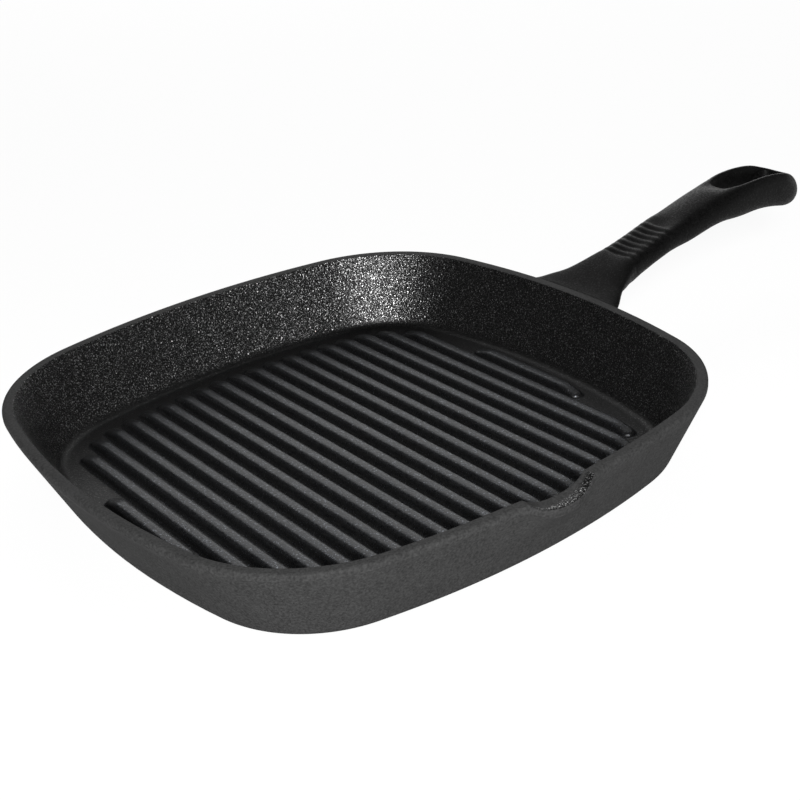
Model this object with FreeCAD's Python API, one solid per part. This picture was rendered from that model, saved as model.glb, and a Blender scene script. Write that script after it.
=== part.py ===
"""Square cast-iron grill pan with a ribbed floor, flared walls, one pour spout and a looped handle.

The frame has its origin at the centre of the flat base, with +Z up and +X along the handle.
Sizes are in millimetres.
"""
import FreeCAD
import Part
import math
import os

Vector = FreeCAD.Vector

# Pan in plan
rim_half = 135.0          # from the centre to the rim's outer edge, at the middle of a side
side_radius = 364.0       # each side bows outwards on this radius
corner_radius = 69.0

# Pan in section
pan_height = 38.0
wall_flare = 16.2         # how far the rim stands out beyond the foot of the wall
wall_thickness = 5.4
floor_thickness = 4.0
base_round = 8.0
inner_round = 8.0         # between the floor and the inside of the wall
rim_land = 2.8            # upright band round the outside of the rim
rim_outer_round = 1.6
rim_inner_round = 1.2
floor_land = 2.0          # flat strip that the wall carries beside its rounds

# Ribs on the floor
ribs_each_side = 10       # on each side of the one in the middle
rib_inset = 2.07          # from the end of the rib field to the middle of the outermost rib
rib_height = 4.0
rib_foot_width = 6.4
rib_crest_width = 4.6
rib_crest_round = 1.9
rib_end_gap = 2.8         # from the edge of the floor plate to the rib ends

# Pour spout in the middle of the -Y side
spout_width = 32.0        # opening between the two corners in the rim
spout_spread = 54.0       # width over which the bulge runs out into the wall
spout_reach = 4.6         # how far the lip stands out beyond the rim
spout_depth = 4.8         # how far the lip dips below the rim
spout_height = 24.0       # from the rim down to the foot of the bulge
spout_knee = 7.0          # from that foot up to where the bulge turns outwards
lip_height = 3.5          # front face of the lip
lip_undercut = 0.5        # how far that face leans in at its foot
trough_fall = 1.0         # fall of the trough from its inner edge to the lip
trough_setback = 1.4      # how far the trough's inner edge moves out with the bulge

# Handle in plan, distances along X from the rim
handle_length = 157.0
flare_width = 41.0        # across the root, just outside the rim
flare_gap = 6.0           # from the rim to where that width is measured
neck_distance = 28.0      # from the rim to the end of the flare
grip_width = 24.8
loop_width = 26.4
neck_round = 30.0
root_round = 14.0
root_spread = 16.0        # extra half width where the root fillets reach the rim
handle_top_round = 2.8
handle_under_round = 4.6

# Handle from the side, heights above the rim
root_level = 6.5          # level stretch of the top beside the rim
neck_rise = 8.9           # height of the top at the neck
hump_setback = 20.5       # from the tip back to the corner over the hump
grip_rake = 10.8          # degrees, climb of the top from the neck to the hump
tip_fall = 15.5           # fall of the top from that corner to the tip
root_depth = 15.0         # how far the underside of the root lies below the rim
neck_drop = 3.3           # how far the underside lies below the rim at the neck
neck_setback = 3.0        # from the neck back to that corner of the underside
hollow_setback = 69.5     # from the tip back to the corner over the hollow of the underside
grip_depth = 7.8          # from the top down to that corner
tip_depth = 9.55          # from the top to the underside at the tip
root_top_round = 16.0
neck_top_round = 60.0
hump_round = 44.0
neck_under_round = 24.0
hollow_round = 158.0
tip_top_round = 7.0
tip_under_round = 4.0
tip_overrun = 1.0         # how far the side outline runs past the tip

# Hanging slot in the loop, distances along X from the tip
slot_end_wall = 12.5
slot_length = 39.5
slot_neck_width = 13.0
loop_wall = 5.7           # beside the wide end of the slot
slot_edge_round = 2.4

# Thumb grooves across the grip
groove_count = 8
groove_pitch = 4.05
groove_length = 18.6
groove_depth = 1.0
groove_radius = 1.5
groove_start = 1.2        # from the neck to the first groove

# Cuts between the regions of the casting, distances along X
root_cut = 24.0           # from the rim to the end of the root
loop_cut = 9.0            # from the grip's end of the slot back to the start of the loop
tool_margin = 5.0         # how far cutting shapes run past what they cut
round_share = 0.9         # largest share of a wall that a round may take
touching = 1e-3           # lengths below this count as none

# Derived places
up = Vector(0, 0, 1)
wall_top = pan_height - rim_land
wall_lean = math.atan2(wall_flare, wall_top)
wall_across = wall_thickness / math.cos(wall_lean)
rim_width = wall_across - rim_land * math.tan(wall_lean)
round_reach = math.tan((math.pi / 2 - wall_lean) / 2)
inner_foot = -wall_flare - wall_across + floor_thickness * math.tan(wall_lean)
floor_edge = min(-wall_flare - base_round * round_reach, inner_foot - inner_round * round_reach) - floor_land
side_reach = side_radius - rim_half
corner_centre = (math.sqrt(2 * (side_radius - corner_radius) ** 2 - side_reach ** 2) - side_reach) / 2
side_half_angle = math.degrees(math.atan2(corner_centre, corner_centre + side_reach))
rib_edge = floor_edge - rib_end_gap
rib_pitch = (rim_half + rib_edge - rib_inset) / ribs_each_side
spout_centre = Vector(0, side_reach, 0)
spout_foot = pan_height - spout_height
handle_tip = rim_half + handle_length
neck_x = rim_half + neck_distance
slot_end = handle_tip - slot_end_wall
slot_start = slot_end - slot_length
slot_width = loop_width - 2 * loop_wall
slot_mouth_round = min(slot_edge_round, round_share * (loop_wall - handle_top_round))
slot_under_round = min(slot_edge_round, round_share * (loop_wall - handle_under_round))
neck_under_x = neck_x - neck_setback
hump_x = handle_tip - hump_setback
hump_rise = neck_rise + (hump_x - neck_x) * math.tan(math.radians(grip_rake))
hollow_x = handle_tip - hollow_setback
hollow_rise = neck_rise + (hollow_x - neck_x) * math.tan(math.radians(grip_rake)) - grip_depth


def polar(radius, angle, height=0.0):
    """Point at a radius and an angle in degrees about the Z axis."""
    return Vector(radius * math.cos(math.radians(angle)), radius * math.sin(math.radians(angle)), height)


def corner_round(before, corner, after, radius):
    """Start, middle and end of the arc that rounds a corner between two straight runs."""
    back = (before - corner).normalize()
    ahead = (after - corner).normalize()
    half_angle = back.getAngle(ahead) / 2
    reach = radius / math.tan(half_angle)
    middle = corner + (back + ahead).normalize() * (radius / math.sin(half_angle) - radius)
    return corner + back * reach, middle, corner + ahead * reach


def rounded_wire(corners, place):
    """Closed wire through corners (u, v, round), put in space by place(u, v); a round of 0 stays sharp."""
    points = [place(u, v) for u, v, _ in corners]
    edges = []
    ends = []
    for index, (_, _, radius) in enumerate(corners):
        corner = points[index]
        if radius == 0:
            ends.append((corner, corner))
            continue
        following = points[(index + 1) % len(points)]
        start, middle, finish = corner_round(points[index - 1], corner, following, radius)
        edges.append(Part.Arc(start, middle, finish).toShape())
        ends.append((start, finish))
    for index, (_, finish) in enumerate(ends):
        start = ends[(index + 1) % len(ends)][0]
        if finish.distanceToPoint(start) > touching:
            edges.append(Part.makeLine(finish, start))
    return Part.Wire(Part.__sortEdges__(edges))


def rim_arcs():
    """Centre, radius, start angle and sweep of the rim's tangent arcs, anticlockwise from the +X side."""
    arcs = []
    for quarter in range(4):
        turn = 90.0 * quarter
        side = (polar(-side_reach, turn), side_radius, turn - side_half_angle, 2 * side_half_angle)
        corner = (polar(corner_centre * math.sqrt(2), turn + 45), corner_radius, turn + side_half_angle,
                  90 - 2 * side_half_angle)
        arcs += [side, corner]
    return arcs


def plan_face(offset, height):
    """Level face inside the rim outline moved outwards by offset."""
    edges = []
    for centre, radius, start, sweep in rim_arcs():
        points = [centre + polar(radius + offset, start + sweep * share, height) for share in (0, 0.5, 1)]
        edges.append(Part.Arc(*points).toShape())
    return Part.Face(Part.Wire(edges))


def outer_offset(height):
    """Offset of the leaning outer face from the rim edge at a height."""
    return (height - wall_top) * math.tan(wall_lean)


def inner_offset(height):
    """Offset of the leaning inner face from the rim edge at a height."""
    return outer_offset(height) - wall_across


def spun(corners, centre, radius, start, sweep):
    """Solid spun about a vertical axis from a section whose corners are (offset, height, round)."""

    def place(offset, height):
        return centre + polar(radius + offset, start, height)

    return Part.Face(rounded_wire(corners, place)).revolve(centre, up, sweep)


def make_floor():
    """Flat plate inside the foot of the wall."""
    return plan_face(floor_edge, 0).extrude(up * floor_thickness)


def make_wall():
    """Flared wall with its rounded foot and rim, open where the pour spout sits."""
    section = [
        (floor_edge, 0, 0),
        (-wall_flare, 0, base_round),
        (0, wall_top, 0),
        (0, pan_height, rim_outer_round),
        (-rim_width, pan_height, rim_inner_round),
        (inner_foot, floor_thickness, inner_round),
        (floor_edge, floor_thickness, 0),
    ]
    pieces = [spun(section, *arc) for arc in rim_arcs()]
    ring = pieces[0].multiFuse(pieces[1:]).removeSplitter()
    return ring.cut(spout_window())


def spout_angle(distance):
    """Angle about the -Y side's centre at a distance along the rim from the spout's middle."""
    return math.degrees(distance / side_radius) - 90


def spout_window():
    """Wedge of the -Y side that the pour spout fills, from its foot to above the rim."""
    half = spout_spread / 2
    inside = side_radius + inner_offset(spout_foot) - tool_margin
    outside = side_radius + tool_margin
    corners = [(inside, -half), (outside, -half), (outside, half), (inside, half)]
    points = [spout_centre + polar(radius, spout_angle(along), spout_foot) for radius, along in corners]
    return Part.Face(Part.makePolygon(points + points[:1])).extrude(up * (spout_height + tool_margin))


def spout_section(distance):
    """Section of the bulged wall at a distance along the rim from the spout's middle."""
    angle = spout_angle(distance)
    bulge = math.cos(math.pi * distance / spout_spread) ** 2
    dip = max(0.0, 1 - (2 * distance / spout_width) ** 2)
    knee = spout_foot + spout_knee
    lip_top = pan_height - dip * spout_depth
    lip_foot = lip_top - rim_land - bulge * (lip_height - rim_land)
    trough_top = lip_top + dip * trough_fall

    def place(offset, height):
        return spout_centre + polar(side_radius + offset, angle, height)

    foot_in = place(inner_offset(spout_foot), spout_foot)
    foot_out = place(outer_offset(spout_foot), spout_foot)
    knee_out = place(outer_offset(knee), knee)
    knee_in = place(inner_offset(knee), knee)
    lip_low = place(bulge * (spout_reach - lip_undercut), lip_foot)
    lip_out = place(bulge * spout_reach, lip_top)
    lip_in = place(bulge * trough_setback - rim_width, trough_top)
    front_arc = corner_round(lip_low, lip_out, lip_in, rim_outer_round)
    throat_arc = corner_round(lip_out, lip_in, knee_in, rim_inner_round)
    return Part.Wire([
        Part.makeLine(foot_in, foot_out),
        bent_edge(foot_out, knee_out, lip_low),
        Part.makeLine(lip_low, front_arc[0]),
        Part.Arc(*front_arc).toShape(),
        Part.makeLine(front_arc[-1], throat_arc[0]),
        Part.Arc(*throat_arc).toShape(),
        bent_edge(throat_arc[-1], knee_in, foot_in),
    ])


def bent_edge(start, knee, finish):
    """Curve that leaves start towards the knee and arrives at finish from it."""
    curve = Part.BezierCurve()
    curve.setPoles([start, knee, finish])
    return curve.toShape()


def make_spout():
    """Lip that bulges out of the wall, with a trough whose corners stay crisp in the rim."""
    edge = spout_width / 2
    end = spout_spread / 2
    stretches = [
        [-end, -(end + edge) / 2, -edge],
        [edge * share for share in (-1, -2 / 3, -1 / 3, 0, 1 / 3, 2 / 3, 1)],
        [edge, (end + edge) / 2, end],
    ]
    lofts = [Part.makeLoft([spout_section(place) for place in stretch], True) for stretch in stretches]
    return lofts[0].multiFuse(lofts[1:]).removeSplitter()


def rib_half_length(x):
    """Half the length of a rib at x, up to the end gap inside the floor's edge."""
    line = Part.makeLine(Vector(x, -rim_half, 0), Vector(x, rim_half, 0))
    return plan_face(rib_edge, 0).common(line).BoundBox.YMax


def stadium(x, half_length, half_width, height):
    """Level wire with straight sides along Y and round ends."""
    middle = half_length - half_width
    corners = [Vector(x + side * half_width, end * middle, height)
               for side, end in ((1, -1), (1, 1), (-1, 1), (-1, -1))]
    far = Vector(x, half_length, height)
    near = Vector(x, -half_length, height)
    return Part.Wire([
        Part.makeLine(corners[0], corners[1]),
        Part.Arc(corners[1], far, corners[2]).toShape(),
        Part.makeLine(corners[2], corners[3]),
        Part.Arc(corners[3], near, corners[0]).toShape(),
    ])


def make_rib(place):
    """Rib with drafted sides, round ends and a rounded crest, place pitches from the middle of the floor."""
    x = place * rib_pitch
    half_length = rib_half_length(x)
    draft = (rib_foot_width - rib_crest_width) / 2
    top = floor_thickness + rib_height
    foot = stadium(x, half_length, rib_foot_width / 2, floor_thickness)
    crest = stadium(x, half_length - draft, rib_crest_width / 2, top)
    rib = Part.makeLoft([foot, crest], True, True)
    crest_edges = [edge for edge in rib.Edges if edge.BoundBox.ZMin > top - touching]
    return rib.makeFillet(rib_crest_round, crest_edges)


def handle_outline():
    """Corners (x, y, round) of the handle from above: root fillets, flare, tapered grip and round tip."""
    half_root = flare_width / 2 + root_spread
    taper = math.atan2((loop_width - grip_width) / 2, handle_tip - neck_x)
    tip_round = loop_width / 2 * math.tan((math.pi / 2 - taper) / 2)
    half_side = [
        (rim_half - rim_width, half_root, 0),
        (rim_half, half_root, 0),
        (rim_half + flare_gap, flare_width / 2, root_round),
        (neck_x, grip_width / 2, neck_round),
        (handle_tip, loop_width / 2, tip_round),
    ]
    other_side = [(x, -y, radius) for x, y, radius in reversed(half_side)]
    return half_side + other_side


def handle_profile():
    """Corners (x, height above the rim, round) of the handle from the side, a little past its tip."""
    inside = rim_half - rim_width
    beyond = handle_tip + tip_overrun
    tip_sink = hollow_rise - (hump_rise - tip_fall - tip_depth)
    top_end = hump_rise - tip_fall * (1 + tip_overrun / hump_setback)
    under_end = hollow_rise - tip_sink * (1 + tip_overrun / hollow_setback)
    return [
        (inside, -root_depth, 0),
        (neck_under_x, -neck_drop, neck_under_round),
        (hollow_x, hollow_rise, hollow_round),
        (beyond, under_end, tip_under_round),
        (beyond, top_end, tip_top_round),
        (hump_x, hump_rise, hump_round),
        (neck_x, neck_rise, neck_top_round),
        (rim_half + root_level, 0, root_top_round),
        (inside, 0, 0),
    ]


def make_handle():
    """Whole handle: plan and side outlines crossed, then rounded, slotted, grooved and fitted to the pan."""
    low = pan_height - root_depth - tool_margin
    plan = rounded_wire(handle_outline(), lambda x, y: Vector(x, y, low))
    column = Part.Face(plan).extrude(up * (root_depth + hump_rise + 2 * tool_margin))
    half_span = flare_width / 2 + root_spread + tool_margin
    side = rounded_wire(handle_profile(), lambda x, z: Vector(x, -half_span, pan_height + z))
    slab = Part.Face(side).extrude(Vector(0, 2 * half_span, 0))
    blank = column.common(slab).Solids[0]
    crowned = blank.makeFillet(handle_top_round, long_edges(blank, 1))
    rounded = crowned.makeFillet(handle_under_round, long_edges(crowned, -1))
    slotted = rounded.cut(slot_tool()).Solids[0]
    opened = slotted.makeFillet(slot_mouth_round, mouth_edges(slotted, 1))
    eased = opened.makeFillet(slot_under_round, mouth_edges(opened, -1))
    return eased.cut(groove_tools()).cut(side_envelope())


def tilt(face):
    """Upward part of a face's normal at its middle."""
    low_u, high_u, low_v, high_v = face.ParameterRange
    return face.normalAt((low_u + high_u) / 2, (low_v + high_v) / 2).z


def long_edges(shape, facing):
    """Edges between the handle's upright sides and its top (facing 1) or its underside (facing -1)."""
    picked = []
    for edge in shape.Edges:
        tilts = [tilt(face) * facing for face in shape.ancestorsOfType(edge, Part.Face)]
        if edge.BoundBox.XLength > touching and min(map(abs, tilts)) < touching < max(tilts):
            picked.append(edge)
    return picked


def side_envelope():
    """Everything within the outer form of the +X side, which the handle's root meets."""
    section = [
        (floor_edge, 0, 0),
        (-wall_flare, 0, base_round),
        (0, wall_top, 0),
        (0, pan_height, rim_outer_round),
        (floor_edge, pan_height, 0),
    ]
    return spun(section, *rim_arcs()[0])


def slot_tool():
    """Upright prism of the hanging slot: a narrow end towards the grip and a wide end towards the tip."""
    wide = slot_width / 2
    narrow = slot_neck_width / 2
    wide_centre = Vector(slot_end - wide, 0, 0)
    narrow_centre = Vector(slot_start + narrow, 0, 0)
    lean = 90 + math.degrees(math.asin((wide - narrow) / (wide_centre.x - narrow_centre.x)))
    wide_side = wide_centre + polar(wide, lean)
    narrow_side = narrow_centre + polar(narrow, lean)
    wide_other = wide_centre + polar(wide, -lean)
    narrow_other = narrow_centre + polar(narrow, -lean)
    outline = Part.Wire([
        Part.Arc(wide_other, Vector(slot_end, 0, 0), wide_side).toShape(),
        Part.makeLine(wide_side, narrow_side),
        Part.Arc(narrow_side, Vector(slot_start, 0, 0), narrow_other).toShape(),
        Part.makeLine(narrow_other, wide_other),
    ])
    return Part.Face(outline).extrude(up * (pan_height + hump_rise + tool_margin))


def mouth_edges(shape, facing):
    """Edges round the slot's mouth in the top (facing 1) or in the underside (facing -1)."""
    picked = []
    for edge in long_edges(shape, facing):
        box = edge.BoundBox
        inside = box.XMin > slot_start - touching and box.XMax < slot_end + touching
        if inside and max(box.YMax, -box.YMin) < slot_width / 2 + touching:
            picked.append(edge)
    return picked


def groove_tools():
    """Rings that scoop the thumb grooves out of the grip's top, deepest in the middle."""
    rake = math.radians(grip_rake)
    along = Vector(math.cos(rake), 0, math.sin(rake))
    normal = Vector(-math.sin(rake), 0, math.cos(rake))
    sweep_radius = ((groove_length / 2) ** 2 + groove_depth ** 2) / (2 * groove_depth)
    neck = Vector(neck_x, 0, pan_height + neck_rise)
    tools = []
    for number in range(groove_count):
        surface = neck + along * (groove_start + number * groove_pitch)
        centre = surface + normal * (sweep_radius - groove_depth)
        tools.append(Part.makeTorus(sweep_radius - groove_radius, groove_radius, centre, along))
    return tools


def slice_x(shape, start, end):
    """Part of a shape between two places along X."""
    half_span = flare_width + root_spread
    height = 2 * pan_height + hump_rise
    block = Part.makeBox(end - start, 2 * half_span, height, Vector(start, -half_span, -tool_margin))
    return shape.common(block)


def export(shape, name):
    """Writes one node."""
    shape.exportStep(os.path.join("parts", name + ".step"))


def main():
    """Builds and writes every node."""
    os.makedirs("parts", exist_ok=True)
    export(make_floor(), "pan_floor")
    export(make_wall(), "pan_wall")
    export(make_spout(), "pour_spout")
    for place in range(-ribs_each_side, ribs_each_side + 1):
        export(make_rib(place), "rib_%02d" % (place + ribs_each_side + 1))
    handle = make_handle()
    root_end = rim_half + root_cut
    loop_start = slot_start - loop_cut
    export(slice_x(handle, 0, root_end), "handle_root")
    export(slice_x(handle, root_end, loop_start), "handle_grip")
    export(slice_x(handle, loop_start, handle_tip + tool_margin), "hanging_loop")


if __name__ == "__main__":
    main()
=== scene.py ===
"""Cast-iron grill pan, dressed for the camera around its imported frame.

The pan is one casting, so its looks are three kinds of mesh that run into each other: the shell with
its floor, wall, rim and pour spout, the ribs on the floor, and the handle. Sizes are in millimetres in
the part's own frame, with the origin at the centre of the base, +X along the handle and -Y towards the
spout. Each mesh is scaled to metres when it is finished.
"""
from __future__ import annotations

import logging
import math
from dataclasses import dataclass
from enum import Enum
from typing import Any, Sequence

import bmesh
import bpy
from mathutils import Matrix, Vector

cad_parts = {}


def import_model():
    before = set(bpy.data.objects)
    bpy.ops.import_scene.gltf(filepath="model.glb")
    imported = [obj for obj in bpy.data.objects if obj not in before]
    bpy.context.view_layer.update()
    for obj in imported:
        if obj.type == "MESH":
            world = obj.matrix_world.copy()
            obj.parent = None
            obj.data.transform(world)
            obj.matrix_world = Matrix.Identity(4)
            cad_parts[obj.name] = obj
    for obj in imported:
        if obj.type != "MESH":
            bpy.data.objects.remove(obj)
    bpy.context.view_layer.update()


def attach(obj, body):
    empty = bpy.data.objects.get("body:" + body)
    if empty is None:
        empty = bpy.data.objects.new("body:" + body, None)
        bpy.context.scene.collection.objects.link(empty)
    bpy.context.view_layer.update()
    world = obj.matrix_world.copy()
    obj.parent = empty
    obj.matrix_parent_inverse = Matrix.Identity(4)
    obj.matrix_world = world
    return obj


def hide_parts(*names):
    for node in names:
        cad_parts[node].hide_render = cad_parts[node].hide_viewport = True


LOG = logging.getLogger("grill_pan")
METRES = 0.001          # metres in a millimetre
BODY = "root"
UP = Vector((0.0, 0.0, 1.0))
WHITE = (1.0, 1.0, 1.0, 1.0)
SPOUT_QUARTER = 3       # quarter turns from the +X side to the -Y side
SPECK_STOPS = ((0.46, 0.0), (0.61, 0.18), (0.74, 1.0))
BARE_GAIN = 12.0        # specks are bare metal from a twelfth of their full brightness
MIX_FIRST, MIX_SECOND, MIX_RESULT = 6, 7, 2     # colour sockets of Blender's Mix node

Point = tuple[float, float]
Triple = tuple[float, float, float]
Shade = tuple[float, float, float, float]
Socket = bpy.types.NodeSocket


class Slot(Enum):
    """Names of the part's material slots, which this script does not use."""

    SHELL = "pan_shell"
    COOKING = "cooking_surface"
    HANDLE = "handle"


class Zone(Enum):
    """Named vertex attributes that tell a finish where it is on the casting."""

    RIM = "rim"
    # The inside's finish; on the spout's trough it also lays on painted shade.
    INSIDE = "inside"


def arc_points(before: Point, corner: Point, after: Point, radius: float, steps: int) -> list[Point]:
    """Points on the round that eases a corner between two straight runs.

    Args:
        before: Point that the first run comes from.
        corner: Corner to ease.
        after: Point that the second run goes to.
        radius: Radius of the round.
        steps: Number of stretches on the round.

    Returns:
        The points from the first run to the second, both ends included.
    """
    tip = Vector(corner)
    back = (Vector(before) - tip).normalized()
    ahead = (Vector(after) - tip).normalized()
    half_angle = back.angle(ahead) / 2
    centre = tip + (back + ahead).normalized() * (radius / math.sin(half_angle))
    start = tip + back * (radius / math.tan(half_angle)) - centre
    sweep = -math.copysign(math.pi - 2 * half_angle, back.x * ahead.y - back.y * ahead.x)
    points = []
    for step in range(steps + 1):
        turned = start.copy()
        turned.rotate(Matrix.Rotation(sweep * step / steps, 2))
        points.append(tuple(centre + turned))
    return points


def bend_points(start: Point, knee: Point, finish: Point, shares: Sequence[float]) -> list[Point]:
    """Points on the curve that leaves start towards the knee and arrives at finish from it."""
    first, middle, last = Vector(start), Vector(knee), Vector(finish)
    return [tuple(first * (1 - t) ** 2 + middle * (2 * t * (1 - t)) + last * t ** 2) for t in shares]


def smooth_step(low: float, high: float, value: float) -> float:
    """Share from 0 at low to 1 at high, level at both ends."""
    share = min(1.0, max(0.0, (value - low) / (high - low)))
    return share * share * (3 - 2 * share)


def join_chain(mesh: bmesh.types.BMesh, verts: list[bmesh.types.BMVert]) -> list[Any]:
    """Joins corners in order with edges and gives both, ready to spin."""
    return verts + [mesh.edges.new(pair) for pair in zip(verts, verts[1:])]


def fill_openings(mesh: bmesh.types.BMesh) -> None:
    """Closes every open loop of edges with a face."""
    bmesh.ops.edgeloop_fill(mesh, edges=[edge for edge in mesh.edges if edge.is_boundary])


def add_object(name: str, data: bpy.types.ID) -> bpy.types.Object:
    """Adds an object with its data to the scene."""
    item = bpy.data.objects.new(name, data)
    bpy.context.scene.collection.objects.link(item)
    return item


def mesh_object(mesh: bmesh.types.BMesh, name: str, material: bpy.types.Material) -> bpy.types.Object:
    """Adds an object made of a mesh, which is freed here, in one material."""
    data = bpy.data.meshes.new(name)
    mesh.to_mesh(data)
    mesh.free()
    data.materials.append(material)
    return add_object(name, data)


def finish_mesh(mesh: bmesh.types.BMesh, name: str, material: bpy.types.Material,
                nodes: Sequence[str], levels: int = 0) -> bpy.types.Object:
    """Turns a mesh in millimetres into a piece of the part.

    Args:
        mesh: Finished shape, freed here.
        name: Name of the piece.
        material: Finish of the piece.
        nodes: CAD nodes that the piece stands for.
        levels: Subdivision levels that smooth the shape.

    Returns:
        The new object, riding on the pan's body.
    """
    bmesh.ops.recalc_face_normals(mesh, faces=mesh.faces)
    bmesh.ops.scale(mesh, vec=Vector((METRES, METRES, METRES)), verts=mesh.verts)
    for face in mesh.faces:
        face.smooth = True
    piece = mesh_object(mesh, name, material)
    if levels:
        smoother = piece.modifiers.new("smooth_form", "SUBSURF")
        smoother.levels = levels
        smoother.render_levels = levels
        graph = bpy.context.evaluated_depsgraph_get()
        smoothed = bpy.data.meshes.new_from_object(piece.evaluated_get(graph))
        piece.modifiers.clear()
        piece.data = smoothed
    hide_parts(*nodes)
    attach(piece, BODY)
    LOG.info("%s: %d faces for %s", name, len(piece.data.polygons), ", ".join(nodes))
    return piece


@dataclass(frozen=True)
class Arc:
    """One arc of the rim outline, angles in radians."""

    centre: Vector
    radius: float
    start: float
    sweep: float


@dataclass(frozen=True)
class RimOutline:
    """Bowed square that the rim follows: eight arcs, each tangent to the next."""

    half: float = 135.0
    side_radius: float = 364.0
    corner_radius: float = 69.0

    @property
    def side_reach(self) -> float:
        """Distance from the pan's middle back to the centre of a side's arc."""
        return self.side_radius - self.half

    @property
    def corner_centre(self) -> float:
        """Distance along X and along Y from the pan's middle to the centre of a corner's arc."""
        gap = self.side_radius - self.corner_radius
        return (math.sqrt(2 * gap ** 2 - self.side_reach ** 2) - self.side_reach) / 2

    @property
    def side_half_angle(self) -> float:
        """Half the sweep of a side's arc."""
        return math.atan2(self.corner_centre, self.corner_centre + self.side_reach)

    def side_arc(self, turn: float) -> Arc:
        """Arc of the side that faces the direction turn."""
        centre = Vector((-self.side_reach * math.cos(turn), -self.side_reach * math.sin(turn), 0.0))
        return Arc(centre, self.side_radius, turn - self.side_half_angle, 2 * self.side_half_angle)

    def corner_arc(self, turn: float) -> Arc:
        """Arc of the corner that follows the side facing turn."""
        diagonal = turn + math.pi / 4
        reach = self.corner_centre * math.sqrt(2)
        centre = Vector((reach * math.cos(diagonal), reach * math.sin(diagonal), 0.0))
        return Arc(centre, self.corner_radius, turn + self.side_half_angle,
                   math.pi / 2 - 2 * self.side_half_angle)

    def half_length(self, x: float, offset: float) -> float:
        """Half the length along Y of the outline, moved outwards by offset, at a place along X."""
        side = self.side_radius + offset
        corner = self.corner_radius + offset
        if abs(x) < side * math.sin(self.side_half_angle):
            return math.sqrt(side ** 2 - x ** 2) - self.side_reach
        if abs(x) < self.corner_centre + corner * math.cos(self.side_half_angle):
            return self.corner_centre + math.sqrt(corner ** 2 - (abs(x) - self.corner_centre) ** 2)
        return math.sqrt(side ** 2 - (abs(x) + self.side_reach) ** 2)


@dataclass(frozen=True)
class WallSection:
    """Section of the flared wall, as offsets from the rim's outer edge and heights above the base.

    The inner round only sets how far the flat floor reaches. The crease round is the one that shows.
    """

    height: float = 38.0
    flare: float = 16.2
    thickness: float = 5.4
    floor: float = 4.0
    base_round: float = 8.0
    inner_round: float = 8.0
    crease_round: float = 5.0
    rim_land: float = 2.8
    rim_outer_round: float = 1.6
    rim_inner_round: float = 1.2
    band_round: float = 0.7
    floor_land: float = 2.0

    @property
    def top(self) -> float:
        """Height where the leaning wall ends and the upright rim band starts."""
        return self.height - self.rim_land

    @property
    def lean(self) -> float:
        """Outward lean of the wall."""
        return math.atan2(self.flare, self.top)

    @property
    def across(self) -> float:
        """Thickness of the wall measured level."""
        return self.thickness / math.cos(self.lean)

    @property
    def rim_width(self) -> float:
        """Width of the flat rim top, its rounds included."""
        return self.across - self.rim_land * math.tan(self.lean)

    @property
    def inner_foot(self) -> float:
        """Offset where the inner face would meet the floor."""
        return self.inner(self.floor)

    @property
    def floor_edge(self) -> float:
        """Offset of the edge of the flat floor."""
        reach = math.tan((math.pi / 2 - self.lean) / 2)
        base_edge = -self.flare - self.base_round * reach
        inner_edge = self.inner_foot - self.inner_round * reach
        return min(base_edge, inner_edge) - self.floor_land

    def outer(self, height: float) -> float:
        """Offset of the leaning outer face at a height."""
        return (height - self.top) * math.tan(self.lean)

    def inner(self, height: float) -> float:
        """Offset of the leaning inner face at a height."""
        return self.outer(height) - self.across


@dataclass(frozen=True)
class PourSpout:
    """Lip in the middle of the -Y side, with a trough between two crisp corners.

    The last three sizes are shares of the way out to the lip. They tell where the inside's dark finish,
    partly its seasoning and partly painted shade of the trough's low outer part, starts on the
    trough, how far that edge slants, and how softly it blends.
    """

    width: float = 32.0
    spread: float = 54.0
    reach: float = 4.48
    depth: float = 4.8
    height: float = 24.0
    knee: float = 7.0
    lip_height: float = 3.5
    lip_undercut: float = 0.5
    trough_fall: float = 1.0
    trough_setback: float = 1.4
    corner_ease: float = 0.6
    lip_round: float = 0.8
    # Where the dark finish lies on the trough: partly seasoning, partly painted shade of its low part.
    seasoning_and_shade_start: float = 0.62
    seasoning_and_shade_slant: float = 0.34
    seasoning_and_shade_blend: float = 0.12

    def bulge(self, distance: float) -> float:
        """Share of the full bulge at a distance along the rim from the spout's middle."""
        if abs(distance) >= self.spread / 2:
            return 0.0
        return math.cos(math.pi * distance / self.spread) ** 2

    def dip(self, distance: float) -> float:
        """Share of the full dip at a distance along the rim from the spout's middle."""
        return max(0.0, 1 - abs(2 * distance / self.width) ** 3)

    def skin(self, distance: float, share: float) -> float:
        """Share of dark finish, partly painted shade, on the trough at a share out to its lip."""
        if not self.dip(distance):
            return 0.0
        start = self.seasoning_and_shade_start - self.seasoning_and_shade_slant * 2 * distance / self.width
        return smooth_step(start - self.seasoning_and_shade_blend, start + self.seasoning_and_shade_blend, share)


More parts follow.
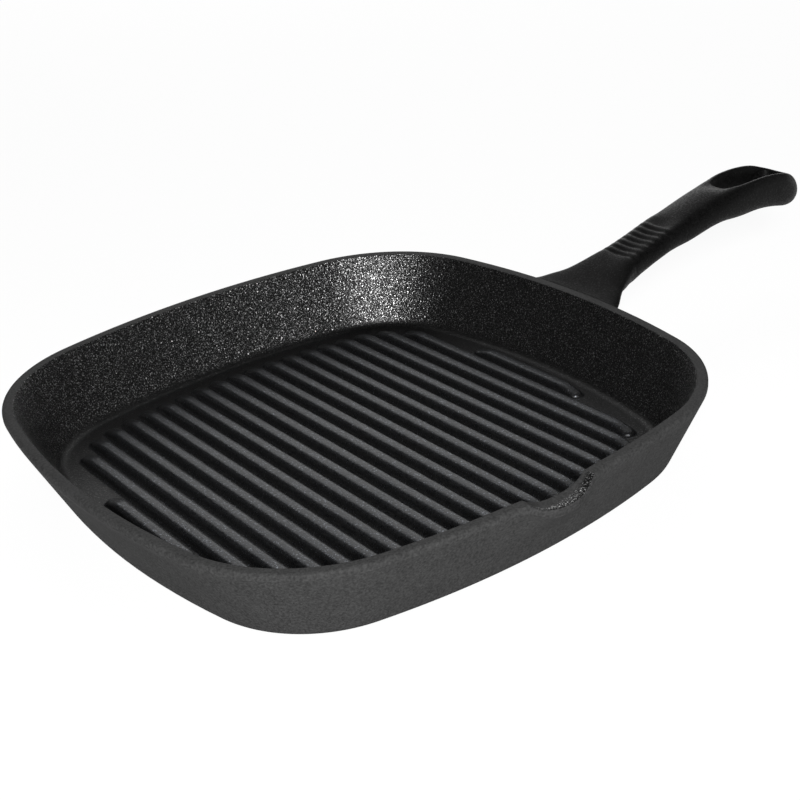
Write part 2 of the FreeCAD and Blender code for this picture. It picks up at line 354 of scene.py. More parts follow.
@dataclass
class PanShell:
    """Floor, wall, rim and spout of the pan as one closed shell.

    Flank and trough steps divide the rim beside the spout's corners and between them. Throat points
    are the points on the rim's inner round that keep the finish of the inside.
    """

    outline: RimOutline
    wall: WallSection
    spout: PourSpout
    corner_steps: int = 26
    side_steps: int = 16
    flank_steps: int = 14
    trough_steps: int = 40
    round_steps: int = 7
    rim_steps: int = 6
    throat_points: int = 2
    face_shares: tuple[float, ...] = (0.0, 0.14, 0.28, 0.42, 0.56, 0.7, 0.85)
    land_shares: tuple[float, ...] = (0.15, 0.3, 0.45, 0.6, 0.75, 0.9)
    seam: float = 0.02

    def section(self, distance: float) -> list[tuple[float, float, float, float]]:
        """Section of the wall at a distance along the rim from the spout's middle.

        Args:
            distance: Place along the -Y side; far from the spout the section is the plain wall.

        Returns:
            Offset, height, share of rim and share of inside for each point, from the floor inside
            to the base.
        """
        wall, spout = self.wall, self.spout
        bulge, dip = spout.bulge(distance), spout.dip(distance)
        foot = wall.height - spout.height
        knee = foot + spout.knee
        lip_top = wall.height - dip * spout.depth
        lip_foot = lip_top - wall.rim_land - bulge * (spout.lip_height - wall.rim_land)
        lip_low = (bulge * (spout.reach - spout.lip_undercut), lip_foot)
        lip_out = (bulge * spout.reach, lip_top)
        lip_in = (bulge * spout.trough_setback - wall.rim_width, lip_top + dip * spout.trough_fall)
        foot_in, foot_out = (wall.inner(foot), foot), (wall.outer(foot), foot)
        knee_in, knee_out = (wall.inner(knee), knee), (wall.outer(knee), knee)
        floor_in, floor_out = (wall.floor_edge, wall.floor), (wall.floor_edge, 0.0)
        inner_foot, outer_foot = (wall.inner_foot, wall.floor), (-wall.flare, 0.0)

        throat = arc_points(knee_in, lip_in, lip_out, wall.rim_inner_round, self.rim_steps)
        edge_round = wall.rim_outer_round + dip * (spout.lip_round - wall.rim_outer_round)
        front = arc_points(lip_in, lip_out, lip_low, edge_round, self.rim_steps)
        throat_end, front_start = Vector(throat[-1]), Vector(front[0])
        land = [tuple(throat_end.lerp(front_start, share)) for share in self.land_shares]
        # Dark inside finish on the trough: partly seasoning, partly painted shade.
        seasoning_and_shade_shares = [spout.skin(distance, share) for share in self.land_shares]
        half_round = self.rim_steps // 2
        band = arc_points(lip_out, lip_low, knee_out, wall.band_round, half_round)
        hollow = arc_points(floor_in, inner_foot, foot_in, wall.crease_round, self.round_steps)
        base = arc_points(foot_out, outer_foot, floor_out, wall.base_round, self.round_steps)
        rise = bend_points(foot_in, knee_in, throat[0], self.face_shares)
        fall = bend_points(foot_out, knee_out, band[-1], self.face_shares)[::-1]

        return ([(*point, 0.0, 1.0) for point in [floor_in, *hollow, *rise]]
                + [(*point, 1.0, 1.0 if index < self.throat_points else 0.0)
                   for index, point in enumerate(throat)]
                + [(*point, 1.0, skin) for point, skin in zip(land, seasoning_and_shade_shares)]
                + [(*point, 1.0, seasoning_and_shade_shares[-1] if index < half_round else 0.0)
                   for index, point in enumerate(front)]
                + [(*point, 1.0, 0.0) for point in band]
                + [(*point, 0.0, 0.0) for point in [*fall, *base, floor_out]])

    def sweeps(self) -> list[tuple[Arc, float, int]]:
        """Arcs of the rim in order from the +X side, as arc, sweep and steps, finer at the spout."""
        spout_half, ease = self.spout.width / 2, self.spout.corner_ease
        side_half = self.outline.side_half_angle * self.outline.side_radius
        half_places = [side_half, self.spout.spread / 2, spout_half + ease, spout_half, spout_half - ease]
        places = [*(-place for place in half_places), *reversed(half_places)]
        half_counts = [self.side_steps // 2, self.flank_steps, 1, 1]
        counts = [*half_counts, self.trough_steps, *reversed(half_counts)]
        found: list[tuple[Arc, float, int]] = []
        for quarter in range(4):
            turn = math.pi / 2 * quarter
            side = self.outline.side_arc(turn)
            if quarter == SPOUT_QUARTER:
                for first, last, count in zip(places, places[1:], counts):
                    found.append((side, (last - first) / side.radius, count))
            else:
                found.append((side, side.sweep, self.side_steps))
            corner = self.outline.corner_arc(turn)
            found.append((corner, corner.sweep, self.corner_steps))
        return found

    def build(self, finish: bpy.types.Material) -> bpy.types.Object:
        """Spins the wall's section round the rim, presses the spout into it and closes the floor.

        Args:
            finish: Material of the shell.

        Returns:
            The shell.
        """
        mesh = bmesh.new()
        station = mesh.verts.layers.int.new("station")
        rim = mesh.verts.layers.float.new(Zone.RIM.value)
        inside = mesh.verts.layers.float.new(Zone.INSIDE.value)
        plain = self.section(self.outline.half)
        first = self.outline.side_arc(0.0)
        aim = Vector((math.cos(first.start), math.sin(first.start), 0.0))
        chain = []
        for index, (offset, height, rim_share, inside_share) in enumerate(plain):
            vert = mesh.verts.new(first.centre + aim * (first.radius + offset) + UP * height)
            vert[station], vert[rim], vert[inside] = index, rim_share, inside_share
            chain.append(vert)
        ring = join_chain(mesh, chain)
        for arc, sweep, steps in self.sweeps():
            spun = bmesh.ops.spin(mesh, geom=ring, cent=arc.centre, axis=UP, angle=sweep, steps=steps)
            ring = spun["geom_last"]
        bmesh.ops.remove_doubles(mesh, verts=mesh.verts, dist=self.seam)
        self.press_spout(mesh, station, inside)
        fill_openings(mesh)
        nodes = ("pan_floor", "pan_wall", "pour_spout")
        return finish_mesh(mesh, "pan_shell", finish, nodes)

    def press_spout(self, mesh: bmesh.types.BMesh, station: bmesh.types.BMLayerItem,
                    inside: bmesh.types.BMLayerItem) -> None:
        """Moves the wall near the middle of the -Y side onto the spout, with crisp corners."""
        radius = self.outline.side_radius
        centre = Vector((0.0, self.outline.side_reach, 0.0))
        corners = set()
        for vert in mesh.verts:
            angle = math.atan2(vert.co.x, centre.y - vert.co.y)
            distance = angle * radius
            if vert.co.y > 0 or abs(distance) >= self.spout.spread / 2:
                continue
            offset, height, rim_share, vert[inside] = self.section(distance)[vert[station]]
            aim = Vector((math.sin(angle), -math.cos(angle), 0.0))
            vert.co = centre + aim * (radius + offset) + UP * height
            if rim_share and abs(abs(distance) - self.spout.width / 2) < self.spout.corner_ease / 2:
                corners.add(vert)
        for edge in mesh.edges:
            edge.smooth = not all(vert in corners for vert in edge.verts)


@dataclass
class GrillRibs:
    """Parallel ribs that stand on the floor, each sloping down at both ends to a low share of its height."""

    outline: RimOutline
    wall: WallSection
    each_side: int = 10
    inset: float = 2.07
    height: float = 4.0
    foot_width: float = 7.2
    crest_width: float = 6.0
    crest_round: float = 2.3
    crest_steps: int = 5
    end_gap: float = 2.8
    end_steps: int = 18
    foot_round: float = 2.0
    foot_steps: int = 6
    sunk: float = 0.05
    slope_length: float = 9.0
    slope_steps: int = 8
    slope_low: float = 0.45
    seam: float = 1e-3

    @property
    def edge(self) -> float:
        """Offset from the rim to the ends of the ribs."""
        return self.wall.floor_edge - self.end_gap

    @property
    def pitch(self) -> float:
        """Distance between neighbouring ribs."""
        return (self.outline.half + self.edge - self.inset) / self.each_side

    @property
    def low(self) -> float:
        """Height of the ribs' underside, just below the floor's surface."""
        return self.wall.floor - self.sunk

    def half_section(self) -> list[Point]:
        """Half of a rib's section from its foot fillet to the middle of its crest."""
        top = self.wall.floor + self.height
        foot, crest = (self.foot_width / 2, self.low), (self.crest_width / 2, top)
        outside = (foot[0] + 2 * self.foot_round, self.low)
        fillet = arc_points(outside, foot, crest, self.foot_round, self.foot_steps)
        shoulder = arc_points(foot, crest, (0.0, top), self.crest_round, self.crest_steps)
        return [*fillet, *shoulder, (0.0, top)]

    def build(self, finish: bpy.types.Material) -> list[bpy.types.Object]:
        """Builds every rib.

        Args:
            finish: Material of the ribs.

        Returns:
            The ribs from the -X side to the +X side.
        """
        ribs = []
        for number, place in enumerate(range(-self.each_side, self.each_side + 1), start=1):
            ribs.append(self.build_rib(place * self.pitch, number, finish))
        return ribs

    def build_rib(self, x: float, number: int, finish: bpy.types.Material) -> bpy.types.Object:
        """Carries the rib's half section round both ends, closes its foot and slopes its ends."""
        middle = self.outline.half_length(x, self.edge) - self.foot_width / 2
        slope = [self.slope_length / self.slope_steps] * self.slope_steps
        runs = [*slope, 2 * (middle - self.slope_length), *slope]
        mesh = bmesh.new()
        section = self.half_section()
        ring = join_chain(mesh, [mesh.verts.new((x + out, middle, height)) for out, height in section])
        for end in (1, -1):
            centre = Vector((x, end * middle, 0.0))
            spun = bmesh.ops.spin(mesh, geom=ring, cent=centre, axis=UP, angle=math.pi,
                                  steps=self.end_steps)
            ring = spun["geom_last"]
            for length in runs:
                ring = self.extend(mesh, ring, -end * length)
        bmesh.ops.remove_doubles(mesh, verts=mesh.verts, dist=self.seam)
        for vert in mesh.verts:
            share = smooth_step(-self.foot_width / 2, self.slope_length, middle - abs(vert.co.y))
            raised = self.slope_low + (1 - self.slope_low) * share
            vert.co.z = self.low + (vert.co.z - self.low) * raised
        fill_openings(mesh)
        name = f"rib_{number:02d}"
        return finish_mesh(mesh, f"grill_{name}", finish, (name,))

    @staticmethod
    def extend(mesh: bmesh.types.BMesh, ring: list[Any], length: float) -> list[Any]:
        """Draws a ring of corners and edges out along Y and gives the new ring."""
        edges = [item for item in ring if isinstance(item, bmesh.types.BMEdge)]
        run = bmesh.ops.extrude_edge_only(mesh, edges=edges)["geom"]
        moved = [item for item in run if isinstance(item, bmesh.types.BMVert)]
        bmesh.ops.translate(mesh, vec=Vector((0.0, length, 0.0)), verts=moved)
        return moved + [item for item in run if isinstance(item, bmesh.types.BMEdge)
                        and all(vert in moved for vert in item.verts)]


class HandleForm(Enum):
    """Sections of the handle's cage.

    Columns run from the middle of the top to the middle of the underside, as (share of the half
    width, share of the depth).
    """

    WEB = ((0.0, 0.0), (0.42, 0.0), (0.78, 0.01), (0.98, 0.1), (1.08, 0.3),
           (0.98, 0.6), (0.7, 0.92), (0.34, 1.0), (0.0, 1.0))
    ROOT = ((0.0, 0.0), (0.38, 0.01), (0.7, 0.05), (0.93, 0.16), (1.0, 0.32),
            (0.87, 0.64), (0.63, 0.93), (0.31, 1.0), (0.0, 1.0))
    NECK = ((0.0, 0.02), (0.38, 0.01), (0.7, 0.04), (0.93, 0.17), (1.0, 0.36),
            (0.91, 0.7), (0.68, 0.98), (0.34, 1.0), (0.0, 1.0))
    LEAD = ((0.0, 0.06), (0.38, 0.035), (0.66, 0.02), (0.92, 0.17), (1.0, 0.42),
            (0.95, 0.78), (0.72, 1.0), (0.36, 1.0), (0.0, 1.0))
    THUMB = ((0.0, 0.06), (0.38, 0.035), (0.66, 0.02), (0.92, 0.18), (1.0, 0.5),
             (0.95, 0.81), (0.72, 1.0), (0.36, 1.0), (0.0, 1.0))
    GRIP = ((0.0, 0.0), (0.4, 0.035), (0.76, 0.13), (0.96, 0.34), (1.0, 0.6),
            (0.95, 0.85), (0.74, 1.0), (0.36, 1.0), (0.0, 1.0))
    MOUTH = ((0.0, 0.1), (0.42, 0.06), (0.64, 0.0), (0.97, 0.17), (1.0, 0.5),
             (0.96, 0.82), (0.76, 1.0), (0.46, 0.98), (0.0, 1.0))
    LOOP = ((0.0, 0.16), (0.56, 0.14), (0.79, 0.0), (0.97, 0.14), (1.0, 0.45),
            (0.96, 0.78), (0.77, 1.0), (0.54, 0.97), (0.0, 1.0))
    NOSE = ((0.0, 0.03), (0.5, 0.02), (0.79, 0.04), (0.96, 0.27), (1.0, 0.52),
            (0.93, 0.77), (0.74, 0.97), (0.4, 1.0), (0.0, 1.0))


@dataclass(frozen=True)
class HandleRow:
    """One ring of the handle's cage, with heights above the rim.

    Fit is the share by which the row follows the curve of the pan's side. Groove is the depth of the
    cut across its top.
    """

    x: float
    top: float
    under: float
    half: float
    columns: tuple[Point, ...]
    fit: float = 0.0
    groove: float = 0.0

    def between(self, after: HandleRow, x: float, groove: float) -> HandleRow:
        """Row at a place between this one and the next, with a groove of its own."""
        share = (x - self.x) / (after.x - self.x)
        columns = tuple(tuple(Vector(first).lerp(Vector(second), share))
                        for first, second in zip(self.columns, after.columns))
        return HandleRow(x, self.top + share * (after.top - self.top),
                         self.under + share * (after.under - self.under),
                         self.half + share * (after.half - self.half), columns, groove=groove)


@dataclass
class PanHandle:
    """Handle that grows out of the rim, with thumb grooves and a hanging slot.

    Groove fade is the share of the cut in each column from the middle of the top. Slot rows are the
    places along X where the slot starts and ends, and slot columns its half width in columns.
    """

    outline: RimOutline
    wall: WallSection
    groove_start: float = 165.0
    groove_pitch: float = 4.05
    groove_count: int = 8
    groove_cut: float = 1.3
    groove_share: float = 0.33
    groove_clear: float = 0.8
    groove_fade: tuple[float, ...] = (1.0, 0.9, 0.35)
    slot_rows: tuple[float, float] = (239.0, 281.5)
    slot_columns: int = 1
    levels: int = 3
    seam: float = 1e-4

    def wall_x(self, y: float, height: float) -> float:
        """Place along X of the pan's outer face at a place along Y and a height above the rim."""
        offset = min(0.0, self.wall.outer(self.wall.height + height))
        return math.sqrt((self.outline.side_radius + offset) ** 2 - y ** 2) - self.outline.side_reach

    def plain_rows(self) -> list[HandleRow]:
        """Rows of the cage without the grooves, from inside the rim to the nose."""
        web, root, neck, lead, thumb, grip, mouth, loop, nose = (form.value for form in HandleForm)
        return [
            HandleRow(131.5, -2.0, -13.0, 33.0, web, 1.0),
            HandleRow(133.6, -0.2, -12.6, 31.6, web, 1.0),
            HandleRow(135.4, 0.0, -12.0, 28.6, web, 1.0),
            HandleRow(138.0, 0.4, -11.4, 26.2, web, 0.9),
            HandleRow(142.0, 1.6, -10.4, 23.6, web, 0.6),
            HandleRow(147.0, 3.4, -8.8, 20.8, root, 0.25),
            HandleRow(152.0, 5.5, -7.2, 18.0, root),
            HandleRow(156.5, 7.3, -5.8, 16.2, neck),
            HandleRow(160.5, 8.9, -4.6, 14.6, neck),
            HandleRow(164.0, 10.1, -3.5, 13.4, lead),
            HandleRow(170.0, 11.3, -1.5, 12.8, lead),
            HandleRow(180.0, 13.6, 1.7, 12.6, thumb),
            HandleRow(190.0, 16.2, 4.3, 12.6, thumb),
            HandleRow(197.5, 18.2, 5.3, 12.6, thumb),
            HandleRow(203.0, 19.9, 5.8, 12.6, grip),
            HandleRow(211.0, 21.9, 7.1, 12.7, grip),
            HandleRow(220.0, 24.0, 8.9, 12.8, grip),
            HandleRow(229.0, 25.8, 9.7, 13.0, grip),
            HandleRow(235.0, 25.5, 9.3, 13.1, mouth),
            HandleRow(239.0, 26.0, 8.9, 13.2, mouth),
            HandleRow(246.0, 26.7, 8.6, 13.3, loop),
            HandleRow(254.0, 27.2, 9.0, 13.4, loop),
            HandleRow(263.0, 26.9, 8.2, 13.4, loop),
            HandleRow(271.0, 25.9, 6.6, 13.3, loop),
            HandleRow(277.0, 24.4, 5.0, 13.1, loop),
            HandleRow(281.5, 22.7, 4.0, 12.6, nose),
            HandleRow(285.0, 20.7, 4.0, 11.5, nose),
            HandleRow(288.6, 17.5, 4.8, 9.6, nose),
            HandleRow(291.0, 14.1, 6.5, 7.1, nose),
            HandleRow(292.0, 12.0, 8.3, 4.4, nose),
        ]

    def rows(self) -> list[HandleRow]:
        """All rows of the cage, with three for each groove in place of the plain ones there."""
        plain = self.plain_rows()
        shifts = (0.0, self.groove_share, 1 - self.groove_share)
        grooved = []
        for number in range(len(shifts) * (self.groove_count - 1) + 1):
            groove, part = divmod(number, len(shifts))
            x = self.groove_start + (groove + shifts[part]) * self.groove_pitch
            before, after = next(pair for pair in zip(plain, plain[1:]) if pair[0].x <= x < pair[1].x)
            grooved.append(before.between(after, x, 0.0 if part else self.groove_cut))
        first, last = grooved[0].x - self.groove_clear, grooved[-1].x + self.groove_clear
        outside = [row for row in plain if not first < row.x < last]
        return sorted(outside + grooved, key=lambda row: row.x)

    def place(self, row: HandleRow, column: int, side: int) -> Vector:
        """Place of one corner of the cage."""
        across, down = row.columns[column]
        height = row.top - down * (row.top - row.under)
        if column < len(self.groove_fade):
            height -= row.groove * self.groove_fade[column]
        y = side * across * row.half
        x = row.x + row.fit * (self.wall_x(y, height) - self.outline.half)
        return Vector((x, y, self.wall.height + height))

    def build(self, finish: bpy.types.Material) -> bpy.types.Object:
        """Wraps a grid round the rows, opens the slot and caps the ends.

        Args:
            finish: Material of the handle.

        Returns:
            The handle.
        """
        rows = self.rows()
        columns = len(HandleForm.GRIP.value) - 1
        around = 2 * columns
        mesh = bmesh.new()
        row_layer = mesh.verts.layers.int.new("row")
        column_layer = mesh.verts.layers.int.new("column")
        bmesh.ops.create_grid(mesh, x_segments=len(rows) - 1, y_segments=around, size=1.0)
        for vert in mesh.verts:
            row = round((vert.co.x + 1) / 2 * (len(rows) - 1))
            turn = round((vert.co.y + 1) / 2 * around)
            column = min(turn, around - turn)
            vert[row_layer], vert[column_layer] = row, column
            vert.co = self.place(rows[row], column, 1 if turn <= columns else -1)
        bmesh.ops.remove_doubles(mesh, verts=mesh.verts, dist=self.seam)
        self.open_slot(mesh, rows, row_layer, column_layer, columns)
        fill_openings(mesh)
        nodes = ("handle_root", "handle_grip", "hanging_loop")
        return finish_mesh(mesh, "pan_handle", finish, nodes, self.levels)

    def open_slot(self, mesh: bmesh.types.BMesh, rows: list[HandleRow],
                  row_layer: bmesh.types.BMLayerItem, column_layer: bmesh.types.BMLayerItem,
                  columns: int) -> None:
        """Takes the middle faces out of the top and the underside and joins the two openings."""
        start, end = self.slot_rows
        inside = [number for number, row in enumerate(rows) if start <= row.x <= end]
        middle = []
        for face in mesh.faces:
            if not all(vert[row_layer] in inside for vert in face.verts):
                continue
            places = [vert[column_layer] for vert in face.verts]
            if max(places) <= self.slot_columns or min(places) >= columns - self.slot_columns:
                middle.append(face)
        ends = {edge for edge in mesh.edges if edge.is_boundary}
        bmesh.ops.delete(mesh, geom=middle, context="FACES")
        mouths = [edge for edge in mesh.edges if edge.is_boundary and edge not in ends]
        bmesh.ops.bridge_loops(mesh, edges=mouths)


def grey(level: float, blue: float = 0.0) -> Shade:
    """Linear grey with a small share of extra blue."""
    return (level, level * (1 + blue / 3), level * (1 + blue), 1.0)


@dataclass(frozen=True)
class Skin:
    """How one skin of the casting takes the light.

    Swing is how far noise changes its roughness, depth is the height of its grain in millimetres, and
    specular is the strength of its mirror reflection.
    """

    roughness: float
    swing: float
    depth: float
    specular: float


@dataclass(frozen=True)
class Value:
    """A number in a node tree: Python arithmetic on it adds Math nodes."""

    tree: FinishTree
    socket: Socket

    def math(self, operation: str, first: Number, second: Number, clamp: bool = False) -> Value:
        """Math node on two numbers."""
        settings = {"operation": operation, "use_clamp": clamp}
        return self.tree.value("ShaderNodeMath", settings, {0: first, 1: second})

    def __add__(self, other: Number) -> Value:
        """This plus other."""
        return self.math("ADD", self, other)

    def __radd__(self, other: Number) -> Value:
        """Other plus this."""
        return self.math("ADD", other, self)

    def __sub__(self, other: Number) -> Value:
        """This minus other."""
        return self.math("SUBTRACT", self, other)

    def __rsub__(self, other: Number) -> Value:
        """Other minus this."""
        return self.math("SUBTRACT", other, self)

    def __mul__(self, other: Number) -> Value:
        """This times other."""
        return self.math("MULTIPLY", self, other)

    def clamped(self) -> Value:
        """This kept between 0 and 1."""
        return self.math("ADD", self, 0.0, clamp=True)

    def swing(self, amount: float) -> Value:
        """A share from 0 to 1 as a change to either side of 0, amount from end to end."""
        return (self - 0.5) * amount


Number = float | Value


class FinishTree:
    """Node tree of one material, with short ways to add and join nodes."""

    def __init__(self, name: str) -> None:
        """Starts an empty material of a name."""
        self.material = bpy.data.materials.new(name)
        self.material.use_nodes = True
        self.tree = self.material.node_tree
        self.tree.nodes.clear()

    def node(self, kind: str, settings: dict[str, Any] | None = None,
             inputs: dict[int | str, Any] | None = None) -> bpy.types.Node:
        """Adds a node.

        Args:
            kind: Blender's name of the node type.
            settings: Properties set before the sockets; "stops" holds a ramp's positions and levels.
            inputs: Values or links of the sockets, by name or number.

        Returns:
            The new node.
        """
        node = self.tree.nodes.new(kind)
        for key, setting in (settings or {}).items():
            if key == "stops":
                self.set_stops(node, setting)
            else:
                setattr(node, key, setting)
        for key, given in (inputs or {}).items():
            socket = given.socket if isinstance(given, Value) else given
            if isinstance(socket, Socket):
                self.tree.links.new(socket, node.inputs[key])
            else:
                node.inputs[key].default_value = socket
        return node

    def set_stops(self, ramp: bpy.types.Node, stops: Sequence[Point]) -> None:
        """Gives a ramp its positions and grey levels."""
        elements = ramp.color_ramp.elements
        while len(elements) < len(stops):
            elements.new(1.0)
        for element, (position, level) in zip(elements, stops):
            element.position = position
            element.color = grey(level)

    def value(self, kind: str, settings: dict[str, Any] | None = None,
              inputs: dict[int | str, Any] | None = None, output: int | str = 0) -> Value:
        """Adds a node and gives one of its outputs as a number."""
        return Value(self, self.node(kind, settings, inputs).outputs[output])

    def place(self) -> Socket:
        """Object coordinates, in metres in the part's frame."""
        return self.node("ShaderNodeTexCoord").outputs["Object"]

    def along(self, axis: str, start: float, length: float) -> Value:
        """Share of the way along a length in millimetres from a place on an axis of the part's frame."""
        place = self.value("ShaderNodeSeparateXYZ", None, {0: self.place()}, axis) * (1 / METRES)
        return ((place - start) * (1 / length)).clamped()

    def zone(self, zone: Zone) -> Value:
        """Share of a named zone of the casting."""
        return self.value("ShaderNodeAttribute", {"attribute_name": zone.value}, None, "Fac")

    def noise(self, size: float, detail: float, roughness: float = 0.6) -> Value:
        """Noise between 0 and 1 whose grains are a number of millimetres across."""
        inputs = {"Vector": self.place(), "Scale": 1 / (size * METRES), "Detail": detail,
                  "Roughness": roughness}
        return self.value("ShaderNodeTexNoise", None, inputs, "Fac")

    def specks(self, size: float) -> Value:
        """Bare specks of metal a number of millimetres across, 1 in the middle of the brightest."""
        noise = self.noise(size, detail=1.0, roughness=0.5)
        return self.value("ShaderNodeValToRGB", {"stops": SPECK_STOPS}, {0: noise})

    def mix(self, factor: Number, first: Socket | Shade, second: Socket | Shade) -> Socket:
        """Colour between two colours."""
        inputs = {0: factor, MIX_FIRST: first, MIX_SECOND: second}
        return self.node("ShaderNodeMix", {"data_type": "RGBA"}, inputs).outputs[MIX_RESULT]

    def greys(self, tone: Value, level: float, spread: float) -> Socket:
        """Grey that a tone takes to either side of a level, by a share of it."""
        return self.mix(tone, grey(level * (1 - spread)), grey(level * (1 + spread)))

    def blend(self, factor: Number, first: Socket, second: Socket) -> Socket:
        """Shader between two shaders."""
        return self.node("ShaderNodeMixShader", None, {0: factor, 1: first, 2: second}).outputs[0]

    def iron(self, skin: Skin, colour: Socket, roughness: Value, grain: Value,
             specks: Value | None = None) -> Socket:
        """Shader of seasoned iron.

        Args:
            skin: Depth of the grain and strength of the mirror reflection.
            colour: Base colour.
            roughness: Roughness of the surface.
            grain: Height of the casting's grain, from 0 to 1.
            specks: Glinting specks of bare metal, if there are any.

        Returns:
            The shader's output.
        """
        heights = {"Height": grain, "Strength": 1.0, "Distance": skin.depth * METRES}
        normal = self.node("ShaderNodeBump", None, heights).outputs["Normal"]
        bare = 0.0 if specks is None else (specks * BARE_GAIN).clamped()
        inputs = {"Base Color": colour, "Roughness": roughness, "Metallic": bare, "Normal": normal,
                  "Specular IOR Level": skin.specular}
        return self.node("ShaderNodeBsdfPrincipled", None, inputs).outputs[0]

    def finish(self, shader: Socket) -> bpy.types.Material:
        """Gives the material its shader."""
        self.node("ShaderNodeOutputMaterial", None, {"Surface": shader})
        return self.material


@dataclass(frozen=True)
class ShellFinish:
    """Seasoned casting: matte outside, satin rim, grainy semi-gloss inside and a softer floor."""

    outside: float = 0.0335
    rim: float = 0.032
    tone_spread: float = 0.4
    rim_shine: float = 0.15
    inside: float = 0.0025
    speck: float = 0.47
    speck_size: float = 0.62
    floor: float = 0.006
    floor_speck: float = 0.08
    floor_speck_size: float = 0.7
    floor_height: float = 5.0
    floor_blend: float = 3.0
    mottle_size: float = 9.0
    mottle_share: float = 0.5
    grain_size: float = 1.0
    grain_share: float = 2.3
    matte: Skin = Skin(roughness=0.7, swing=0.2, depth=0.06, specular=0.012)
    gloss: Skin = Skin(roughness=0.36, swing=0.1, depth=0.46, specular=0.11)
    plate: Skin = Skin(roughness=0.42, swing=0.2, depth=0.14, specular=0.14)

    def make(self) -> bpy.types.Material:
        """Builds the material."""
        tree = FinishTree("seasoned_shell")
        mottle = tree.noise(self.mottle_size, detail=4.0)
        grain = tree.noise(self.grain_size, detail=2.0)
        low = 1.0 - tree.along("Z", self.floor_height, self.floor_blend)
        within = tree.blend(low, self.wall(tree, mottle, grain), self.plain_floor(tree, grain))
        outer = self.outer(tree, mottle, grain)
        # The inside's dark finish; on the spout's trough it is partly painted shade.
        return tree.finish(tree.blend(tree.zone(Zone.INSIDE), outer, within))

    def outer(self, tree: FinishTree, mottle: Value, grain: Value) -> Socket:
        """Matte skin of the outside and the satin rim."""
        rim = tree.zone(Zone.RIM)
        tone = (mottle.swing(self.mottle_share) + grain.swing(self.grain_share) + 0.5).clamped()
        colour = tree.mix(rim, tree.greys(tone, self.outside, self.tone_spread),
                          tree.greys(tone, self.rim, self.tone_spread))
        roughness = self.matte.roughness - rim * self.rim_shine + grain.swing(self.matte.swing)
        return tree.iron(self.matte, colour, roughness, grain)

    def wall(self, tree: FinishTree, mottle: Value, grain: Value) -> Socket:
        """Grainy semi-gloss skin of the wall inside, with glinting specks."""
        specks = tree.specks(self.speck_size)
        colour = tree.mix(specks, grey(self.inside), grey(self.speck))
        roughness = self.gloss.roughness + mottle.swing(self.gloss.swing)
        return tree.iron(self.gloss, colour, roughness, grain, specks)

    def plain_floor(self, tree: FinishTree, grain: Value) -> Socket:
        """Softer skin of the floor between the ribs."""
        specks = tree.specks(self.floor_speck_size)
        colour = tree.mix(specks, grey(self.floor), grey(self.floor_speck))
        roughness = self.plate.roughness + grain.swing(self.plate.swing)
        return tree.iron(self.plate, colour, roughness, grain, specks)


@dataclass(frozen=True)
class RibFinish:
    """Grainy black cooking surface, greyer on rib crests: partly wear, partly painted sheen."""

    low: float = 0.006
    # Colour of the crests: partly wear, partly a painted bluish sheen.
    crest: float = 0.01
    sheen_and_wear_top: float = 8.0
    sheen_and_wear_depth: float = 1.6
    speck: float = 0.14
    speck_size: float = 0.7
    blue: float = 0.15
    grain_size: float = 1.0
    skin: Skin = Skin(roughness=0.4, swing=0.2, depth=0.14, specular=0.27)

    def make(self) -> bpy.types.Material:
        """Builds the material."""
        tree = FinishTree("cooking_surface")
        # Greyer, bluish crests: partly wear, partly painted sheen on the tops of the ribs.
        crest = tree.along("Z", self.sheen_and_wear_top - self.sheen_and_wear_depth, self.sheen_and_wear_depth)
        specks = tree.specks(self.speck_size)
        plain = tree.mix(crest, grey(self.low), grey(self.crest, self.blue))
        colour = tree.mix(specks, plain, grey(self.speck, self.blue))
        grain = tree.noise(self.grain_size, detail=2.0)
        roughness = self.skin.roughness + grain.swing(self.skin.swing)
        return tree.finish(tree.iron(self.skin, colour, roughness, grain, specks))


@dataclass(frozen=True)
class HandleFinish:
    """Satin black handle, rough like the shell at its root and smoother towards the grip."""

    base: float = 0.0042
    tone_spread: float = 0.7
    speck: float = 0.02
    speck_size: float = 0.8
    root_end: float = 150.0
    grip_start: float = 172.0
    grip_shine: float = 0.14
    mottle_size: float = 7.0
    mottle_share: float = 0.8
    grain_size: float = 0.9
    grain_share: float = 2.0
    skin: Skin = Skin(roughness=0.66, swing=0.2, depth=0.08, specular=0.05)

    def make(self) -> bpy.types.Material:
        """Builds the material."""
        tree = FinishTree("satin_handle")
        grip = tree.along("X", self.root_end, self.grip_start - self.root_end)
        mottle = tree.noise(self.mottle_size, detail=4.0)
        grain = tree.noise(self.grain_size, detail=3.0)
        tone = (mottle.swing(self.mottle_share) + grain.swing(self.grain_share) + 0.5).clamped()
        specks = tree.specks(self.speck_size)
        colour = tree.mix(specks, tree.greys(tone, self.base, self.tone_spread), grey(self.speck))
        roughness = self.skin.roughness - grip * self.grip_shine + grain.swing(self.skin.swing)
        return tree.finish(tree.iron(self.skin, colour, roughness, grain, specks))


@dataclass(frozen=True)
class Lamp:
    """Soft square lamp: its place, the spot that it faces and its size in metres, its power in watts."""

    name: str
    place: Triple
    aim: Triple
    size: float
    power: float

    def build(self) -> None:
        """Adds the lamp to the scene."""
        data = bpy.data.lights.new(self.name, "AREA")
        data.shape = "SQUARE"
        data.size = self.size
        data.energy = self.power
        away = Vector(self.place) - Vector(self.aim)
        turned = away.to_track_quat("Z", "Y").to_matrix().to_4x4()
        lamp = add_object(self.name, data)
        lamp.matrix_world = Matrix.Translation(Vector(self.place)) @ turned


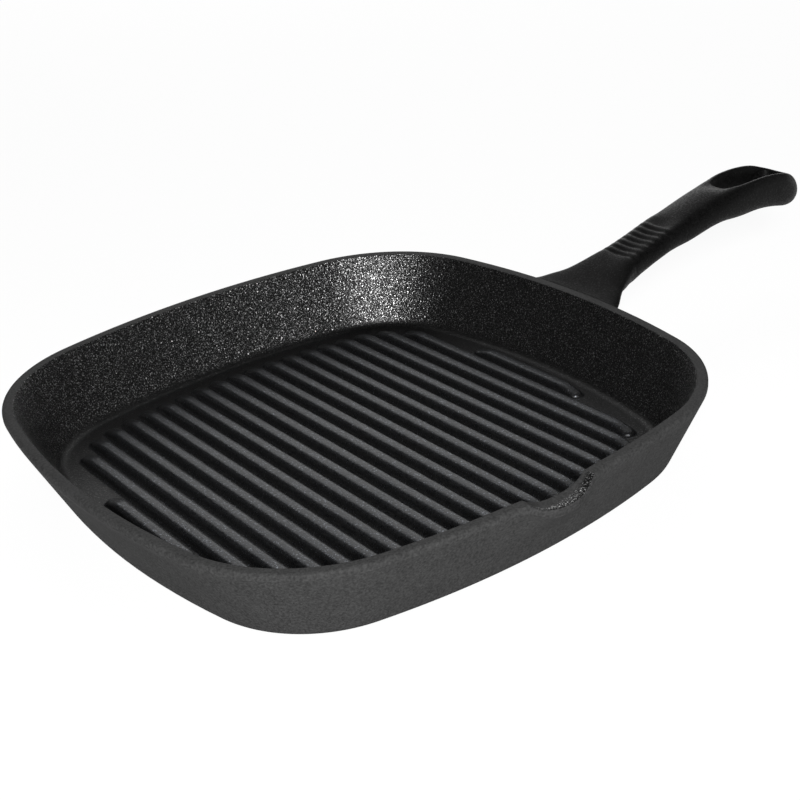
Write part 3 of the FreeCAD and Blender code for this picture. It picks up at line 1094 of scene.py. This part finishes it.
@dataclass(frozen=True)
class Studio:
    """Pale floor, soft lamps and the camera.

    The camera's eye is in millimetres, and its axes are right, upward and back. The floor's half width
    and the camera's range are in metres.
    """

    eye: Triple = (-318.7, -485.5, 313.8)
    right: Triple = (0.78916, -0.60924, -0.07784)
    upward: Triple = (0.32785, 0.31069, 0.89218)
    back: Triple = (-0.51936, -0.72959, 0.44493)
    lens: float = 66.555
    sensor: float = 36.0
    view_range: float = 1000.0
    lamps: tuple[Lamp, ...] = (
        Lamp("key_light", (-0.67, -0.985, 0.725), (0.09, 0.1, 0.02), size=0.3, power=33.0),
        Lamp("back_light", (0.88, 1.13, 0.86), (0.0, 0.0, 0.03), size=1.8, power=19.0),
        Lamp("side_light", (1.1, -0.35, 0.4), (0.05, 0.0, 0.03), size=0.7, power=0.8),
    )
    world_level: float = 0.05
    floor_half: float = 200.0
    floor_level: float = 0.92
    floor_glow: float = 0.9

    def build(self) -> None:
        """Adds everything around the pan."""
        self.camera()
        for lamp in self.lamps:
            lamp.build()
        self.world()
        self.floor()

    def camera(self) -> None:
        """Adds the camera that took the view of the photograph."""
        data = bpy.data.cameras.new("view")
        data.sensor_width = self.sensor
        data.lens = self.lens
        data.clip_end = self.view_range
        camera = add_object("view", data)
        axes = Matrix((self.right, self.upward, self.back)).transposed().to_4x4()
        camera.matrix_world = Matrix.Translation(Vector(self.eye) * METRES) @ axes
        bpy.context.scene.camera = camera

    def world(self) -> None:
        """Adds a faint, even world."""
        world = bpy.data.worlds.new("studio")
        world.use_nodes = True
        inputs = world.node_tree.nodes["Background"].inputs
        inputs["Color"].default_value = WHITE
        inputs["Strength"].default_value = self.world_level
        bpy.context.scene.world = world

    def floor(self) -> None:
        """Adds the floor, white to the camera apart from the pan's shadow."""
        tree = FinishTree("pale_floor")
        paths = tree.node("ShaderNodeLightPath").outputs
        seen = (Value(tree, paths["Is Camera Ray"]) + Value(tree, paths["Is Glossy Ray"])
                + Value(tree, paths["Is Transmission Ray"])).clamped()
        matte = tree.node("ShaderNodeBsdfDiffuse", None, {"Color": grey(self.floor_level)})
        glow = tree.node("ShaderNodeEmission", None, {"Color": WHITE, "Strength": 1.0})
        shader = tree.blend(seen * self.floor_glow, matte.outputs[0], glow.outputs[0])
        mesh = bmesh.new()
        bmesh.ops.create_grid(mesh, x_segments=1, y_segments=1, size=self.floor_half)
        floor = mesh_object(mesh, "floor", tree.finish(shader))


def main() -> None:
    """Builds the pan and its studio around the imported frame."""
    logging.basicConfig(level=logging.INFO, format="%(name)s: %(message)s")
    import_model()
    bpy.context.scene.view_settings.view_transform = "Standard"
    outline = RimOutline()
    wall = WallSection()
    PanShell(outline, wall, PourSpout()).build(ShellFinish().make())
    GrillRibs(outline, wall).build(RibFinish().make())
    PanHandle(outline, wall).build(HandleFinish().make())
    Studio().build()


if __name__ == "__main__":
    main()
